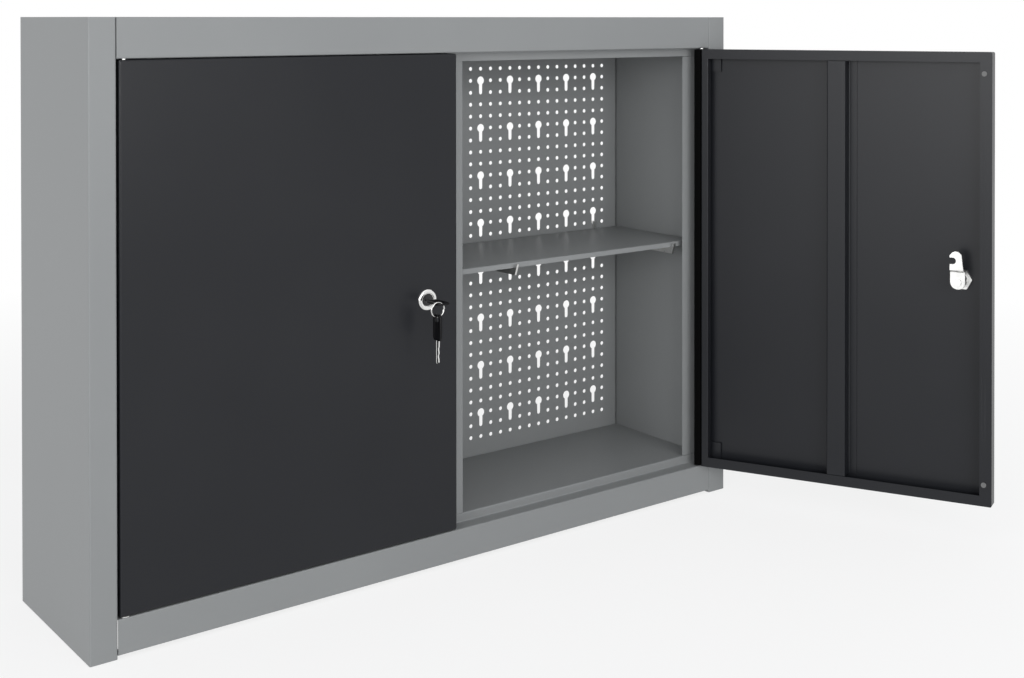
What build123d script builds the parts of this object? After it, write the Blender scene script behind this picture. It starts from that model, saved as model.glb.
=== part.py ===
from build123d import *
import os

os.makedirs("parts", exist_ok=True)

# Wall cabinet for tools, in millimetres: two folded side boxes, a top and a bottom
# panel between them, a perforated back in two halves, one shelf and two doors.
# X runs to the right, Y from the front to the wall, Z up. The origin is the middle
# of the spine that rests against the wall.

# Driving dimensions
WIDTH = 800.0
DEPTH = 200.0
HEIGHT = 600.0
SHEET = 0.8
BEND = 1.5

POST_W = 26.0
TOP_RAIL_H = 39.0
BOTTOM_RAIL_H = 37.0
STOP_DEPTH = 18.5
STOP_H = 10.0
STOP_W = 28.0
PANEL_INSET = 13.0
SPINE_W = 60.0

PEG_PITCH = 15.0
PEG_R = 2.5
KEYHOLE_R = 5.2
FIRST_COLUMN = 50.0
TOP_ROW = 535.0
KEYHOLE_COLUMNS = 7
KEYHOLE_ROWS = 8
PEG_ROWS = 32
WALL_HOLE_X = 350.0

SHELF_TOP = 317.0
SHELF_LIP = 6.0
SHELF_FRONT = 28.0
SHELF_BACK = 182.0
BRACKET_W = 2.5
NOSE_LEAN = 5.0
BRACKET_COLUMNS = [-335.0, -95.0, 95.0, 335.0]

DOOR_DEPTH = 17.0
DOOR_GAP = 1.0
HINGE_GAP = 2.5
CENTRE_GAP = 1.0
DOOR_EDGE_R = 2.0
DOOR_CORNER_R = 2.0
END_RIM = 12.0
FREE_RIM = 14.0
RELIEF_W = 11.0
RELIEF_DEPTH = 9.0
SEAL_W = 9.4
SEAL_DEPTH = 7.5
HINGE_RIM = 20.0
PIVOT_U = 6.0
PIVOT_V = 4.5
PIN_R = 2.5
OPEN_ANGLE = 115.0
STIFFENER_W = 23.0
BUMPER_R = 3.0

LOCK_FROM_EDGE = 38.0
LOCK_HEIGHT = 295.0
ROSETTE_R = 11.5
BARREL_R = 9.0
PLUG_R = 6.0
CAM_REACH = 35.5
CAM_TAIL = 10.0
CAM_W = 17.0
CAM_STEP = 2.5

POST_FACE_W = 38.0
HEM_W = 5.0
CHANNEL_W = 27.0
CHANNEL_DEPTH = 7.0

KEY_HEAD_W = 15.0
KEY_HEAD_L = 28.0
KEY_EYE = 5.5
KEY_BLADE_L = 25.0
KEY_HOLE_R = 3.4
RING_R = 7.8
RING_WIRE_R = 0.6
RING_SIDE = 5.5
RING_DROP = 5.6

# Planes and levels worked out from them
HALF = WIDTH / 2
INNER = HALF - POST_W
FRONT = -DEPTH
TOP = HEIGHT / 2
BASE = -HEIGHT / 2
LEDGE_TOP = TOP - TOP_RAIL_H
LEDGE_BOTTOM = BASE + BOTTOM_RAIL_H
FLOOR = LEDGE_BOTTOM + STOP_H
STOP_FACE = FRONT + STOP_DEPTH
PANEL_FACE = -PANEL_INSET
SHELF_Z = BASE + SHELF_TOP
LOCK_Z = BASE + LOCK_HEIGHT
DOOR_BOTTOM = LEDGE_BOTTOM + DOOR_GAP
DOOR_TOP = LEDGE_TOP - DOOR_GAP
DOOR_HINGE_X = -INNER + HINGE_GAP
DOOR_FREE_X = -CENTRE_GAP / 2
DOOR_MID_X = (DOOR_HINGE_X + DOOR_FREE_X) / 2
DOOR_BACK = FRONT + DOOR_DEPTH
PIVOT_X = DOOR_HINGE_X + PIVOT_U
PIVOT_Y = FRONT + PIVOT_V
LOCK_X = DOOR_FREE_X - LOCK_FROM_EDGE
KEY_HOLE_Y = FRONT - 30.0
KEY_END_Y = KEY_HOLE_Y - KEY_EYE + KEY_HEAD_L
RING_X = LOCK_X - RING_SIDE
RING_Z = LOCK_Z - RING_DROP
SPARE_HOLE_Z = RING_Z - RING_R - KEY_HOLE_R + RING_WIRE_R + 0.3
SPARE_END_Z = SPARE_HOLE_Z + KEY_EYE - KEY_HEAD_L
RIGHT_HINGE = Axis((-PIVOT_X, PIVOT_Y, 0), (0, 0, 1))


def keep(block, name):
    """Labels a finished piece and writes it under its node name."""
    block.part.label = name
    export_step(block.part, f"parts/{name}.step")


def slab(x, y, z, mode=Mode.ADD):
    """A plain block between two limits on each axis."""
    with Locations(((x[0] + x[1]) / 2, (y[0] + y[1]) / 2, (z[0] + z[1]) / 2)):
        Box(abs(x[1] - x[0]), abs(y[1] - y[0]), abs(z[1] - z[0]), mode=mode)


def folded(plane, points, length, bend=BEND):
    """Sheet folded along a line of points, its thickness to the left of the line."""
    with BuildSketch(plane) as profile:
        with BuildLine():
            FilletPolyline(*points, radius=bend)
            offset(amount=SHEET, side=Side.LEFT)
        make_face()
    extrude(profile.sketch, amount=length)


def pan(block, x, y, z, opening, radius, corner=0):
    """A sheet pan with rounded edges round its floor, open along an axis."""
    slab(x, y, z)
    if corner:
        fillet(block.edges().filter_by(opening).group_by(Axis.X)[-1], corner)
    ends = block.faces().sort_by(opening)
    fillet(ends[0].edges(), radius)
    offset(amount=-SHEET, openings=block.faces().sort_by(opening)[-1])


def across(y):
    """A plane across the cabinet at depth y, X to the right and Z up."""
    return Plane(origin=(0, y, 0), x_dir=(1, 0, 0), z_dir=(0, -1, 0))


def rod(spots, y, radius, mode=Mode.ADD):
    """Round bars or holes that run from front to back."""
    with BuildSketch(across(y[0])) as ends:
        with Locations(*spots):
            Circle(radius)
    extrude(ends.sketch, amount=y[0] - y[1], mode=mode)


def upright(spots, z, radius, mode=Mode.ADD):
    """Round bars or holes that run upwards."""
    with BuildSketch(Plane.XY.offset(z[0])) as ends:
        with Locations(*spots):
            Circle(radius)
    extrude(ends.sketch, amount=z[1] - z[0], mode=mode)


def level(spots, x, radius, mode=Mode.ADD):
    """Round bars or holes that run from left to right, spots as (y, z)."""
    with BuildSketch(Plane.YZ.offset(x[0])) as ends:
        with Locations(*spots):
            Circle(radius)
    extrude(ends.sketch, amount=x[1] - x[0], mode=mode)


def mirrored(shape):
    """The right-hand twin of a left-hand piece."""
    return mirror(shape, about=Plane.YZ, mode=Mode.PRIVATE)


def swung(shape):
    """The right-hand twin of a piece of the left door, turned with the open door."""
    return mirrored(shape).rotate(RIGHT_HINGE, OPEN_ANGLE)


TOP_SCREWS = [(FRONT + 45, TOP - 20), (FRONT + 150, TOP - 20)]
BOTTOM_SCREWS = [(FRONT + 45, BASE + 33), (FRONT + 150, BASE + 33)]
SIDE_RIVETS = [(-6, BASE + z) for z in (80, 230, 380, 530)]
SPINE_RIVETS = [(side * 37, BASE + z) for side in (-1, 1) for z in (80, 300, 520)]
HOOK_HOLES = [(x, SHELF_Z + z) for x in BRACKET_COLUMNS for z in (8, -7)]
WALL_HOLE_ROWS = (BASE + TOP_ROW, BASE + TOP_ROW - PEG_PITCH * (PEG_ROWS - 1))
POST_RIVETS = [(-9, LEDGE_TOP - 5), (9, LEDGE_TOP - 5)]
FOOT_RIVETS = [(-9, STOP_FACE + 14), (9, STOP_FACE + 14)]

# Side boxes: rear flange, outer skin, front post, jamb and door stop in one sheet
with BuildPart() as side_left:
    folded(
        Plane.XY.offset(BASE + SHEET),
        [
            (-INNER, PANEL_FACE + 1),
            (-INNER, 0),
            (-HALF, 0),
            (-HALF, FRONT),
            (-INNER, FRONT),
            (-INNER, STOP_FACE),
            (-INNER + STOP_W, STOP_FACE),
        ],
        HEIGHT - 2 * SHEET,
    )
    slab((-INNER, -HALF / 2), (FRONT, STOP_FACE + 5), (LEDGE_TOP - STOP_H - 0.5, TOP),
         mode=Mode.SUBTRACT)
    slab((-INNER, -HALF / 2), (FRONT, STOP_FACE + 5), (BASE, FLOOR + 0.5),
         mode=Mode.SUBTRACT)
    for z in (BASE, TOP - SHEET):
        with BuildSketch(Plane.XY.offset(z)):
            with Locations((-(HALF + INNER) / 2, FRONT / 2)):
                RectangleRounded(POST_W, DEPTH, BEND)
        extrude(amount=SHEET)
    level(SIDE_RIVETS, (-INNER - 2, -INNER + 2), 1.7, Mode.SUBTRACT)

with BuildPart() as side_right:
    add(mirrored(side_left.part))

# Liners that close the side boxes on the inside
with BuildPart() as liner_left:
    folded(
        Plane.XY.offset(BASE + 1.5),
        [
            (-INNER - 14, STOP_FACE + 1.5),
            (-INNER, STOP_FACE + 1.5),
            (-INNER, PANEL_FACE),
            (-INNER - 14, PANEL_FACE),
        ],
        HEIGHT - 3,
    )
    level(TOP_SCREWS + BOTTOM_SCREWS, (-INNER - 2, -INNER + 2), 2.6, Mode.SUBTRACT)

with BuildPart() as liner_right:
    add(mirrored(liner_left.part))

# Top panel: rear flange, top skin, front rail, ledge over the doors and stop band
with BuildPart() as top_panel:
    folded(
        Plane.YZ.offset(-INNER + 0.4),
        [
            (0, LEDGE_TOP),
            (0, TOP),
            (FRONT, TOP),
            (FRONT, LEDGE_TOP),
            (STOP_FACE, LEDGE_TOP),
            (STOP_FACE, LEDGE_TOP - STOP_H),
        ],
        2 * INNER - 0.8,
    )
    for x in (-INNER + 0.4, INNER - 0.4 - SHEET):
        slab((x, x + SHEET), (FRONT + 30, -20), (TOP - 34, TOP - SHEET / 2))
        level(TOP_SCREWS, (x - 1, x + 2), 2.6, Mode.SUBTRACT)
    upright([(PIVOT_X, PIVOT_Y), (-PIVOT_X, PIVOT_Y)], (LEDGE_TOP - 1, LEDGE_TOP + 2),
            PIN_R + 0.1, Mode.SUBTRACT)
    rod(POST_RIVETS, (STOP_FACE - 1, STOP_FACE + 2), 1.7, Mode.SUBTRACT)

# Bottom panel: floor, stop band, ledge under the doors, front rail and return
with BuildPart() as bottom_panel:
    folded(
        Plane.YZ.offset(-INNER + 0.4),
        [
            (PANEL_FACE - 0.2, FLOOR - 17),
            (PANEL_FACE - 0.2, FLOOR),
            (STOP_FACE, FLOOR),
            (STOP_FACE, LEDGE_BOTTOM),
            (FRONT, LEDGE_BOTTOM),
            (FRONT, BASE + 3),
            (FRONT + 14, BASE + 3),
        ],
        2 * INNER - 0.8,
    )
    for x in (-INNER + 0.4, INNER - 0.4 - SHEET):
        slab((x, x + SHEET), (FRONT + 30, -20), (BASE + 18, FLOOR - SHEET / 2))
        level(BOTTOM_SCREWS, (x - 1, x + 2), 2.6, Mode.SUBTRACT)
    upright([(PIVOT_X, PIVOT_Y), (-PIVOT_X, PIVOT_Y)],
            (LEDGE_BOTTOM - 2, LEDGE_BOTTOM + 1), PIN_R + 0.1, Mode.SUBTRACT)
    upright(FOOT_RIVETS, (FLOOR - 2, FLOOR + 2), 1.7, Mode.SUBTRACT)

# Screws and nuts that hold the top and bottom panels between the side boxes
with BuildPart() as carcass_screws:
    for side in (-1, 1):
        face = side * (INNER - 0.4 - SHEET)
        for spots in (TOP_SCREWS, BOTTOM_SCREWS):
            level(spots, (face, face - side * 2.6), 4.5)
            level(spots, (face, side * (INNER + 8)), 2.5)

with BuildPart() as carcass_nuts:
    for side in (-1, 1):
        for y, z in TOP_SCREWS + BOTTOM_SCREWS:
            with BuildSketch(Plane.YZ.offset(side * (INNER + SHEET))):
                with Locations((y, z)):
                    RegularPolygon(radius=4.6, side_count=6)
                    Circle(2.55, mode=Mode.SUBTRACT)
            extrude(amount=side * 4)

# Back panels: two pans with rows of keyholes, their flanges turned to the wall
with BuildPart() as back_panel_left:
    pan(back_panel_left, (-INNER + 0.1, -0.4), (PANEL_FACE, -1), (BASE + 20, TOP - 2),
        Axis.Y, BEND)
    heads = []
    for column in range(KEYHOLE_COLUMNS):
        for row in range(KEYHOLE_ROWS):
            x = -FIRST_COLUMN - PEG_PITCH * (1 + 3 * column)
            z = BASE + TOP_ROW - PEG_PITCH * (1 + 4 * row)
            heads.append((x, z))
    rod(heads, (PANEL_FACE - 1, PANEL_FACE + 2), KEYHOLE_R, Mode.SUBTRACT)
    rod([(x, z - PEG_PITCH) for x, z in heads], (PANEL_FACE - 1, PANEL_FACE + 2), PEG_R,
        Mode.SUBTRACT)
    with BuildSketch(across(PANEL_FACE - 1)):
        with Locations(*[(x, z - PEG_PITCH / 2) for x, z in heads]):
            Rectangle(2 * PEG_R, PEG_PITCH)
    extrude(amount=-3, mode=Mode.SUBTRACT)
    rod([spot for spot in HOOK_HOLES if spot[0] < 0], (PANEL_FACE - 1, PANEL_FACE + 2),
        PEG_R, Mode.SUBTRACT)
    rod([(-WALL_HOLE_X, z) for z in WALL_HOLE_ROWS], (PANEL_FACE - 1, PANEL_FACE + 2),
        PEG_R, Mode.SUBTRACT)
    rod([spot for spot in SPINE_RIVETS if spot[0] < 0], (PANEL_FACE - 1, PANEL_FACE + 2),
        1.7, Mode.SUBTRACT)
    level(SIDE_RIVETS, (-INNER, -INNER + 2), 1.7, Mode.SUBTRACT)

with BuildPart() as back_panel_right:
    add(mirrored(back_panel_left.part))

# Rivets between the side boxes and the flanges of the back panels
with BuildPart() as back_rivets:
    for side in (-1, 1):
        level(SIDE_RIVETS, (side * (INNER - 0.9), side * (INNER - 2.5)), 3)
        level(SIDE_RIVETS, (side * (INNER - 0.9), side * (INNER + 2)), 1.6)

# Spine behind the joint of the back panels; its rear face rests against the wall
with BuildPart() as back_spine:
    folded(
        Plane.XY.offset(FLOOR + 1),
        [
            (SPINE_W / 2 + 14, PANEL_FACE + SHEET + 0.85),
            (SPINE_W / 2, PANEL_FACE + SHEET + 0.85),
            (SPINE_W / 2, 0),
            (-SPINE_W / 2, 0),
            (-SPINE_W / 2, PANEL_FACE + SHEET + 0.85),
            (-SPINE_W / 2 - 14, PANEL_FACE + SHEET + 0.85),
        ],
        LEDGE_TOP - FLOOR - 2,
    )
    rod(SPINE_RIVETS, (PANEL_FACE, PANEL_FACE + 4), 1.7, Mode.SUBTRACT)

with BuildPart() as spine_rivets:
    rod(SPINE_RIVETS, (PANEL_FACE - 0.9, PANEL_FACE), 3)
    rod(SPINE_RIVETS, (PANEL_FACE - 0.1, PANEL_FACE + 2.2), 1.6)

# Centre post that both doors close against, a hemmed strip. Two channels stiffen it
# from behind and leave its middle free for the lock cams.
with BuildPart() as centre_post:
    slab((-POST_FACE_W / 2, POST_FACE_W / 2), (STOP_FACE, STOP_FACE + SHEET),
         (FLOOR + 0.1, LEDGE_TOP - STOP_H - 0.1))
    for side in (-1, 1):
        slab((side * (POST_FACE_W / 2 - HEM_W), side * POST_FACE_W / 2),
             (STOP_FACE + SHEET, STOP_FACE + 2 * SHEET),
             (FLOOR + 0.1, LEDGE_TOP - STOP_H - 0.1))
    fillet(centre_post.edges().filter_by(Axis.Z).group_by(Axis.Y)[0], 0.6)

with BuildPart() as post_channels:
    for z in ((FLOOR, LOCK_Z - 40), (LOCK_Z + 40, LEDGE_TOP - STOP_H - 2)):
        folded(
            Plane.XY.offset(z[0]),
            [
                (CHANNEL_W / 2, STOP_FACE + SHEET + 0.05),
                (CHANNEL_W / 2, STOP_FACE + CHANNEL_DEPTH),
                (-CHANNEL_W / 2, STOP_FACE + CHANNEL_DEPTH),
                (-CHANNEL_W / 2, STOP_FACE + SHEET + 0.05),
            ],
            z[1] - z[0],
        )
    slab((-CHANNEL_W / 2, CHANNEL_W / 2),
         (STOP_FACE + SHEET + 0.05, STOP_FACE + 2 * SHEET + 0.05),
         (LEDGE_TOP - STOP_H - 14, LEDGE_TOP - 1))
    slab((-CHANNEL_W / 2, CHANNEL_W / 2), (STOP_FACE + SHEET + 0.05, STOP_FACE + 19),
         (FLOOR, FLOOR + SHEET))
    rod(POST_RIVETS, (STOP_FACE, STOP_FACE + 3), 1.7, Mode.SUBTRACT)
    upright(FOOT_RIVETS, (FLOOR - 2, FLOOR + 2), 1.7, Mode.SUBTRACT)

with BuildPart() as post_rivets:
    rod(POST_RIVETS, (STOP_FACE - 0.9, STOP_FACE), 3)
    rod(POST_RIVETS, (STOP_FACE - 0.1, STOP_FACE + 2.6), 1.6)
    upright(FOOT_RIVETS, (FLOOR + SHEET, FLOOR + SHEET + 1), 3)
    upright(FOOT_RIVETS, (FLOOR - 2, FLOOR + SHEET + 0.1), 1.6)

# Shelf and the four brackets that carry it on the perforated back
with BuildPart() as shelf:
    pan(shelf, (-INNER + 1, INNER - 1), (FRONT + SHELF_FRONT, FRONT + SHELF_BACK),
        (SHELF_Z - SHELF_LIP, SHELF_Z), -Axis.Z, BEND)

for number, column in enumerate(BRACKET_COLUMNS, start=1):
    with BuildPart() as shelf_bracket:
        with BuildSketch(Plane.YZ.offset(column - BRACKET_W / 2)):
            with BuildLine():
                Polyline(
                    (FRONT + SHELF_FRONT - 3.2, SHELF_Z - SHELF_LIP - 8),
                    (FRONT + SHELF_FRONT - 3.2 - NOSE_LEAN, SHELF_Z - 1),
                    (FRONT + SHELF_FRONT - 0.7 - NOSE_LEAN, SHELF_Z - 1),
                    (FRONT + SHELF_FRONT - 0.7, SHELF_Z - SHELF_LIP - 0.2),
                    (FRONT + SHELF_BACK + 0.8, SHELF_Z - SHELF_LIP - 0.2),
                    (FRONT + SHELF_BACK + 0.8, SHELF_Z + 9.7),
                    (PANEL_FACE + 3.5, SHELF_Z + 9.7),
                    (PANEL_FACE + 3.5, SHELF_Z + 6.3),
                    (PANEL_FACE - 0.3, SHELF_Z + 6.3),
                    (PANEL_FACE - 0.3, SHELF_Z - 5.3),
                    (PANEL_FACE + 2.5, SHELF_Z - 5.3),
                    (PANEL_FACE + 2.5, SHELF_Z - 8.7),
                    (PANEL_FACE - 0.3, SHELF_Z - 8.7),
                    (PANEL_FACE - 0.3, SHELF_Z - SHELF_LIP - 8),
                    close=True,
                )
            make_face()
        extrude(amount=BRACKET_W)
    keep(shelf_bracket, f"shelf_bracket_{number}")

# Left door: skin with four flanges, rims on three sides, and on the hinge side a
# step that lets the edge swing past the door stop
with BuildPart() as door_panel_left:
    pan(door_panel_left, (DOOR_HINGE_X, DOOR_FREE_X), (FRONT, DOOR_BACK),
        (DOOR_BOTTOM, DOOR_TOP), Axis.Y, DOOR_EDGE_R, DOOR_CORNER_R)
    slab((DOOR_HINGE_X, DOOR_HINGE_X + RELIEF_W), (FRONT + RELIEF_DEPTH, DOOR_BACK),
         (DOOR_BOTTOM, DOOR_TOP), mode=Mode.SUBTRACT)
    folded(
        Plane.XY.offset(DOOR_BOTTOM),
        [
            (DOOR_HINGE_X + HINGE_RIM, FRONT + 8),
            (DOOR_HINGE_X + HINGE_RIM, DOOR_BACK),
            (DOOR_HINGE_X + RELIEF_W, DOOR_BACK),
            (DOOR_HINGE_X + RELIEF_W, FRONT + RELIEF_DEPTH),
            (DOOR_HINGE_X + SHEET / 2, FRONT + RELIEF_DEPTH),
        ],
        DOOR_TOP - DOOR_BOTTOM,
        bend=1.0,
    )
    for z in (DOOR_BOTTOM, DOOR_TOP - END_RIM):
        slab((DOOR_HINGE_X + RELIEF_W + 2, DOOR_FREE_X - 1), (DOOR_BACK - SHEET, DOOR_BACK),
             (z + 0.1, z + END_RIM - 0.1))
    slab((DOOR_FREE_X - FREE_RIM, DOOR_FREE_X - SHEET / 2), (DOOR_BACK - SHEET, DOOR_BACK),
         (DOOR_BOTTOM + SHEET / 2, DOOR_TOP - SHEET / 2))
    upright([(PIVOT_X, PIVOT_Y)], (DOOR_BOTTOM - 1, DOOR_TOP + 1), PIN_R + 0.1,
            Mode.SUBTRACT)
    rod([(LOCK_X, LOCK_Z)], (FRONT - 1, FRONT + 3), BARREL_R + 0.1, Mode.SUBTRACT)
    rod([(DOOR_FREE_X - 9, DOOR_TOP - 25), (DOOR_FREE_X - 9, DOOR_BOTTOM + 25)],
        (DOOR_BACK - 2, DOOR_BACK + 1), 1.6, Mode.SUBTRACT)

with BuildPart() as door_stiffener_left:
    folded(
        Plane.XY.offset(DOOR_BOTTOM + END_RIM + 0.5),
        [
            (DOOR_MID_X + STIFFENER_W / 2 + 10, FRONT + 2 * SHEET + 0.05),
            (DOOR_MID_X + STIFFENER_W / 2, FRONT + 2 * SHEET + 0.05),
            (DOOR_MID_X + STIFFENER_W / 2, DOOR_BACK),
            (DOOR_MID_X - STIFFENER_W / 2, DOOR_BACK),
            (DOOR_MID_X - STIFFENER_W / 2, FRONT + 2 * SHEET + 0.05),
            (DOOR_MID_X - STIFFENER_W / 2 - 10, FRONT + 2 * SHEET + 0.05),
        ],
        DOOR_TOP - DOOR_BOTTOM - 2 * END_RIM - 1,
    )

# Foam seal in the step along the hinge edge, which closes against the door stop
with BuildPart() as edge_seal_left:
    slab((DOOR_HINGE_X + 0.4, DOOR_HINGE_X + 0.4 + SEAL_W),
         (FRONT + RELIEF_DEPTH, FRONT + RELIEF_DEPTH + SEAL_DEPTH),
         (DOOR_BOTTOM + 0.5, DOOR_TOP - 0.5))
    fillet(edge_seal_left.edges().filter_by(Axis.Z).group_by(Axis.Y)[-1], 2.5)

# Hinge plates inside the door corners, with the pivot pins through them
with BuildPart() as hinge_plate_top_left:
    slab((DOOR_HINGE_X + 1.5, DOOR_HINGE_X + 32), (FRONT + 1.3, FRONT + 7.8),
         (DOOR_TOP - 3.8, DOOR_TOP - 1.3))
    slab((DOOR_HINGE_X + 12, DOOR_HINGE_X + 32), (FRONT + 1.3, FRONT + 3.8),
         (DOOR_TOP - 28, DOOR_TOP - 1.3))
    upright([(PIVOT_X, PIVOT_Y)], (DOOR_TOP - 5, DOOR_TOP), PIN_R + 0.03, Mode.SUBTRACT)

with BuildPart() as hinge_plate_bottom_left:
    slab((DOOR_HINGE_X + 1.5, DOOR_HINGE_X + 32), (FRONT + 1.3, FRONT + 7.8),
         (DOOR_BOTTOM + 1.3, DOOR_BOTTOM + 3.8))
    slab((DOOR_HINGE_X + 12, DOOR_HINGE_X + 32), (FRONT + 1.3, FRONT + 3.8),
         (DOOR_BOTTOM + 1.3, DOOR_BOTTOM + 28))
    upright([(PIVOT_X, PIVOT_Y)], (DOOR_BOTTOM, DOOR_BOTTOM + 5), PIN_R + 0.03,
            Mode.SUBTRACT)

with BuildPart() as hinge_pins_left:
    upright([(PIVOT_X, PIVOT_Y)], (DOOR_TOP - 8, LEDGE_TOP + 5), PIN_R)
    upright([(PIVOT_X, PIVOT_Y)], (LEDGE_BOTTOM - 5, DOOR_BOTTOM + 8), PIN_R)

with BuildPart() as hinge_washer_left:
    upright([(PIVOT_X, PIVOT_Y)], (LEDGE_BOTTOM + 0.05, DOOR_BOTTOM - 0.1), 4.2)
    upright([(PIVOT_X, PIVOT_Y)], (LEDGE_BOTTOM, DOOR_BOTTOM), PIN_R + 0.1,
            Mode.SUBTRACT)

with BuildPart() as bumpers_left:
    for z in (DOOR_TOP - 25, DOOR_BOTTOM + 25):
        rod([(DOOR_FREE_X - 9, z)], (DOOR_BACK, DOOR_BACK + 1.2), BUMPER_R)
        rod([(DOOR_FREE_X - 9, z)], (DOOR_BACK - 3, DOOR_BACK), 1.5)

# Lock: rosette and barrel, clamp nut, turning plug, hooked cam and its screw
with BuildPart() as lock_housing_left:
    rod([(LOCK_X, LOCK_Z)], (FRONT - 2.6, FRONT - 0.05), ROSETTE_R)
    rod([(LOCK_X, LOCK_Z)], (FRONT - 0.05, FRONT + 20.5), BARREL_R)
    rod([(LOCK_X, LOCK_Z)], (FRONT - 3, FRONT + 22), PLUG_R + 0.1, Mode.SUBTRACT)
    fillet(lock_housing_left.faces().sort_by(Axis.Y)[0].edges(), 2.0)

with BuildPart() as lock_nut_left:
    with BuildSketch(across(FRONT + SHEET + 0.1)):
        with Locations((LOCK_X, LOCK_Z)):
            RegularPolygon(radius=12.7, side_count=6)
            Circle(BARREL_R + 0.05, mode=Mode.SUBTRACT)
    extrude(amount=-4)

with BuildPart() as lock_plug_left:
    rod([(LOCK_X, LOCK_Z)], (FRONT - 1.8, FRONT + 21.4), PLUG_R)
    slab((LOCK_X - 3.9, LOCK_X + 3.9), (FRONT - 2, FRONT + 17.5),
         (LOCK_Z - 0.9, LOCK_Z + 0.9), mode=Mode.SUBTRACT)
    rod([(LOCK_X, LOCK_Z)], (FRONT + 18, FRONT + 22), 2.1, Mode.SUBTRACT)

with BuildPart() as lock_cam_left:
    with BuildSketch(Plane.YZ.offset(LOCK_X - CAM_W / 2)):
        with BuildLine():
            Polyline(
                (FRONT + 21.5, LOCK_Z + CAM_TAIL),
                (FRONT + 21.5, LOCK_Z - 12),
                (FRONT + 21.5 + CAM_STEP, LOCK_Z - 12 - CAM_STEP),
                (FRONT + 21.5 + CAM_STEP, LOCK_Z - CAM_REACH),
                (FRONT + 23.5 + CAM_STEP, LOCK_Z - CAM_REACH),
                (FRONT + 23.5 + CAM_STEP, LOCK_Z - 11.2 - CAM_STEP),
                (FRONT + 23.5, LOCK_Z - 11.2),
                (FRONT + 23.5, LOCK_Z + CAM_TAIL),
                close=True,
            )
        make_face()
    extrude(amount=CAM_W)
    with BuildSketch(across(FRONT + 20)) as outline:
        with BuildLine():
            Polyline(
                (LOCK_X + CAM_W / 2, LOCK_Z),
                (LOCK_X + CAM_W / 2, LOCK_Z - 12),
                (LOCK_X + 7, LOCK_Z - 14.5),
                (LOCK_X + 5, LOCK_Z - CAM_REACH + 3.5),
                (LOCK_X + 1.2, LOCK_Z - CAM_REACH + 0.4),
                (LOCK_X - 2.6, LOCK_Z - CAM_REACH),
                (LOCK_X - 5.6, LOCK_Z - CAM_REACH + 1.4),
                (LOCK_X - CAM_W / 2, LOCK_Z - CAM_REACH + 4.6),
                (LOCK_X - CAM_W / 2, LOCK_Z),
            )
            CenterArc((LOCK_X, LOCK_Z), CAM_W / 2, 0, 180)
        make_face()
        with Locations((LOCK_X - CAM_W / 2, LOCK_Z - 24.5)):
            SlotCenterToCenter(6.8, 7.6, mode=Mode.SUBTRACT)
    extrude(outline.sketch, amount=-8, mode=Mode.INTERSECT)
    rod([(LOCK_X, LOCK_Z)], (FRONT + 20, FRONT + 26), 2.6, Mode.SUBTRACT)

with BuildPart() as cam_screw_left:
    rod([(LOCK_X, LOCK_Z)], (FRONT + 23.5, FRONT + 26.5), 4.5)
    rod([(LOCK_X, LOCK_Z)], (FRONT + 18, FRONT + 23.6), 2)

DOOR_PIECES = {
    "door_panel": door_panel_left,
    "door_stiffener": door_stiffener_left,
    "edge_seal": edge_seal_left,
    "hinge_plate_top": hinge_plate_top_left,
    "hinge_plate_bottom": hinge_plate_bottom_left,
    "hinge_pins": hinge_pins_left,
    "bumpers": bumpers_left,
    "lock_housing": lock_housing_left,
    "lock_nut": lock_nut_left,
    "lock_plug": lock_plug_left,
    "cam_screw": cam_screw_left,
}
for name, piece in DOOR_PIECES.items():
    keep(piece, f"{name}_left")
    with BuildPart() as twin:
        add(swung(piece.part))
    keep(twin, f"{name}_right")

# Both doors use the same lock, so the right cam is the left one turned half round
with BuildPart() as lock_cam_right:
    add(swung(mirror(lock_cam_left.part, about=Plane.XY.offset(LOCK_Z),
                     mode=Mode.PRIVATE)))

with BuildPart() as hinge_washer_right:
    add(mirrored(hinge_washer_left.part))

# Key in the left lock, with a ring and a spare key hanging from its head
with BuildPart() as key_blade:
    slab((LOCK_X - 3.6, LOCK_X + 3.6), (KEY_END_Y - 8, KEY_END_Y + KEY_BLADE_L),
         (LOCK_Z - 0.7, LOCK_Z + 0.7))

with BuildPart() as key_head:
    with BuildSketch(Plane.XY.offset(LOCK_Z - 1.1)):
        with Locations((LOCK_X, KEY_END_Y - KEY_HEAD_L / 2)):
            RectangleRounded(KEY_HEAD_W, KEY_HEAD_L, 4)
        with Locations((LOCK_X, KEY_HOLE_Y)):
            Circle(KEY_HOLE_R, mode=Mode.SUBTRACT)
    extrude(amount=2.2)
    slab((LOCK_X - 3.62, LOCK_X + 3.62), (KEY_END_Y - 8.02, FRONT),
         (LOCK_Z - 0.72, LOCK_Z + 0.72), mode=Mode.SUBTRACT)

with BuildPart() as key_ring:
    with Locations(Location((RING_X, KEY_HOLE_Y, RING_Z), (90, 0, 0))):
        Torus(RING_R, RING_WIRE_R)

with BuildPart() as spare_key_head:
    with BuildSketch(Plane.YZ.offset(RING_X - 1.5)):
        with Locations((KEY_HOLE_Y, SPARE_END_Z + KEY_HEAD_L / 2)):
            RectangleRounded(KEY_HEAD_W, KEY_HEAD_L, 4)
        with Locations((KEY_HOLE_Y, SPARE_HOLE_Z)):
            Circle(KEY_HOLE_R, mode=Mode.SUBTRACT)
    extrude(amount=3)
    slab((RING_X - 0.72, RING_X + 0.72), (KEY_HOLE_Y - 3.62, KEY_HOLE_Y + 3.62),
         (SPARE_END_Z - 1, SPARE_END_Z + 8.02), mode=Mode.SUBTRACT)

with BuildPart() as spare_key_blade:
    slab((RING_X - 0.7, RING_X + 0.7), (KEY_HOLE_Y - 3.6, KEY_HOLE_Y + 3.6),
         (SPARE_END_Z - KEY_BLADE_L, SPARE_END_Z + 8))

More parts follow.
